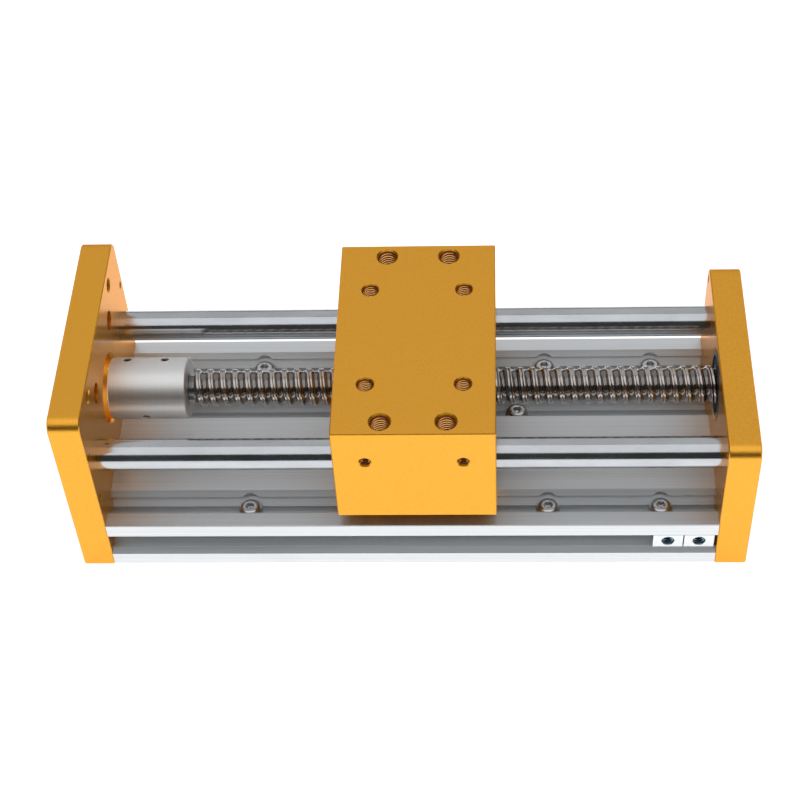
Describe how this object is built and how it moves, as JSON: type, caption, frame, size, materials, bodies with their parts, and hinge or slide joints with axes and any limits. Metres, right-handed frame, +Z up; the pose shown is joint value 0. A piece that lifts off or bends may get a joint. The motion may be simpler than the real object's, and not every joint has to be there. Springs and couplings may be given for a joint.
{
  "type": "ball screw slide module",
  "caption": "Short ball screw slide: slotted aluminium bed, two end plates, twin guide rods, shaft coupler and a block carriage with tapped faces.",
  "frame": {"origin": "middle of the overall length, on the screw's centre plane, at the underside of the bed", "axes": "+X along the screw from the motor end plate to the bearing end plate, +Z up from the bed to the carriage's top face, +Y to the rear guide rod"},
  "size_m": [0.215, 0.08, 0.07],
  "materials": {
    "gold_anodised": "satin anodised, fine blasted grain",
    "silver_anodised": "satin anodised extrusion",
    "turned_aluminium": "fine turned, satin",
    "ground_chrome": "ground and polished",
    "rolled_steel": "rolled and hardened, oiled",
    "bearing_steel": "ground",
    "screw_steel": "stainless",
    "spring_steel": "blackened",
    "zinc_steel": "bright zinc plated",
    "seal_rubber": "matte black",
    "white_plastic": "moulded"
  },
  "bodies": {
    "frame": {"base_profile": "silver_anodised", "bed_screws": "screw_steel", "motor_end_plate": "gold_anodised", "bearing_end_plate": "gold_anodised", "end_plate_screws": "screw_steel", "guide_rod_front": "ground_chrome", "guide_rod_rear": "ground_chrome", "rod_end_screws": "screw_steel", "bearing_outer_ring": "bearing_steel", "bearing_seals": "seal_rubber", "bearing_ball_cage": "bearing_steel"},
    "screw": {"ball_screw": "rolled_steel", "screw_circlip": "spring_steel", "shaft_coupler": "turned_aluminium", "coupler_set_screws": "spring_steel", "bearing_inner_ring": "bearing_steel"},
    "carriage": {"carriage_block": "gold_anodised", "ball_nut": "bearing_steel", "nut_wipers": "white_plastic", "nut_screws": "screw_steel", "linear_bearing_front": "bearing_steel", "linear_bearing_rear": "bearing_steel", "bearing_retainer_front": "white_plastic", "bearing_retainer_rear": "white_plastic", "linear_bearing_seals": "seal_rubber", "carriage_retaining_rings": "spring_steel"},
    "inner_slot_nut": {"slot_nut_inner": "zinc_steel"},
    "outer_slot_nut": {"slot_nut_outer": "zinc_steel"}
  },
  "joints": [
    {"name": "screw_spin", "type": "hinge", "parent": "frame", "child": "screw", "pos_m": [0, 0, 0.0415], "axis": [-1, 0, 0], "range_deg": [-4319, 6119]},
    {"name": "carriage_slide", "type": "slide", "parent": "frame", "child": "carriage", "axis": [1, 0, 0], "range_m": [-0.048, 0.068]},
    {"name": "inner_nut_slide", "type": "slide", "parent": "frame", "child": "inner_slot_nut", "axis": [1, 0, 0], "range_m": [-0.174, 0.0007]},
    {"name": "outer_nut_slide", "type": "slide", "parent": "frame", "child": "outer_slot_nut", "axis": [1, 0, 0], "range_m": [-0.174, 0.0007]}
  ],
  "couplings": [
    {"joint": "carriage_slide", "follows": "screw_spin", "m_per_rad": 0.00063662},
    {"joint": "outer_nut_slide", "follows": "inner_nut_slide", "ratio": 1}
  ]
}
